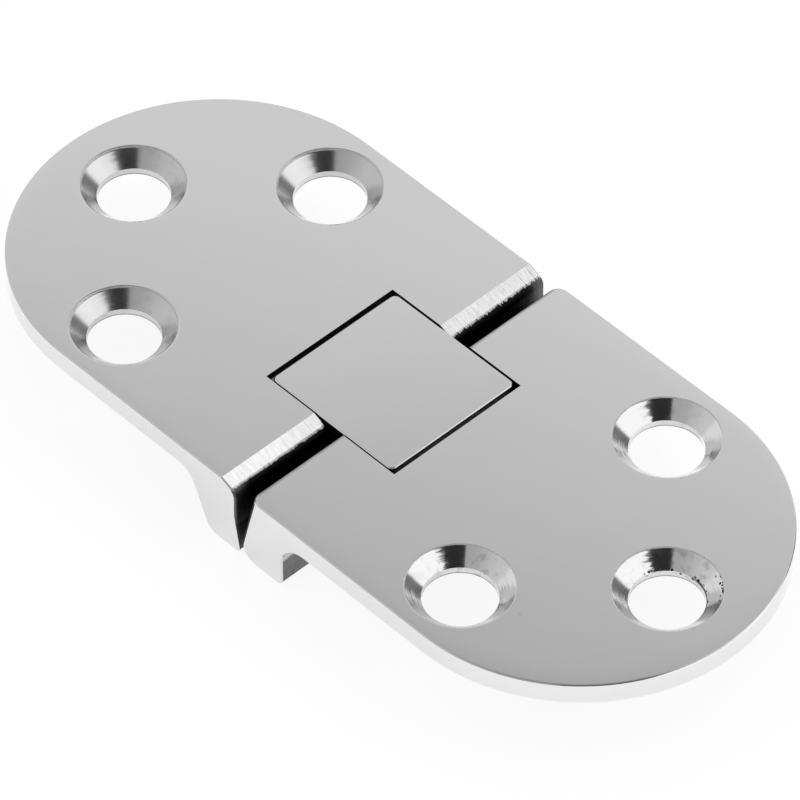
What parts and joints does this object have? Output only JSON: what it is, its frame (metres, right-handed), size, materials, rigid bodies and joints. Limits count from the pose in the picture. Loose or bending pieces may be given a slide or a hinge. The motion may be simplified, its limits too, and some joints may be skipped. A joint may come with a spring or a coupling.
{
  "type": "concealed flap hinge",
  "caption": "Flush flap hinge: round-ended countersunk leaves joined by a square bridge link, so that a flap folds over flat on its neighbour.",
  "frame": {"origin": "under the middle of the joint, level with the feet of the two bosses, with the hinge open flat", "axes": "+X along the hinge from the fixed leaf to the flap leaf, +Y along the hinge pins towards their flush ends, +Z out of the top faces"},
  "size_m": [0.067, 0.03, 0.0063],
  "materials": {
    "leaf_metal": "mirror-polished cast stainless steel",
    "link_metal": "mirror-polished cast stainless steel",
    "pin_metal": "ground stainless steel"
  },
  "bodies": {
    "fixed_leaf": {"fixed_leaf": "leaf_metal", "fixed_pin": "pin_metal"},
    "bridge_link": {"bridge_link": "link_metal"},
    "flap_leaf": {"flap_leaf": "leaf_metal", "flap_pin": "pin_metal"}
  },
  "joints": [
    {"name": "fixed_pivot", "type": "hinge", "parent": "fixed_leaf", "child": "bridge_link", "pos_m": [-0.0026, 0, 0.0042], "axis": [0, -1, 0], "range_deg": [0, 90]},
    {"name": "flap_pivot", "type": "hinge", "parent": "bridge_link", "child": "flap_leaf", "pos_m": [0.0026, 0, 0.0042], "axis": [0, -1, 0], "range_deg": [0, 90]}
  ]
}
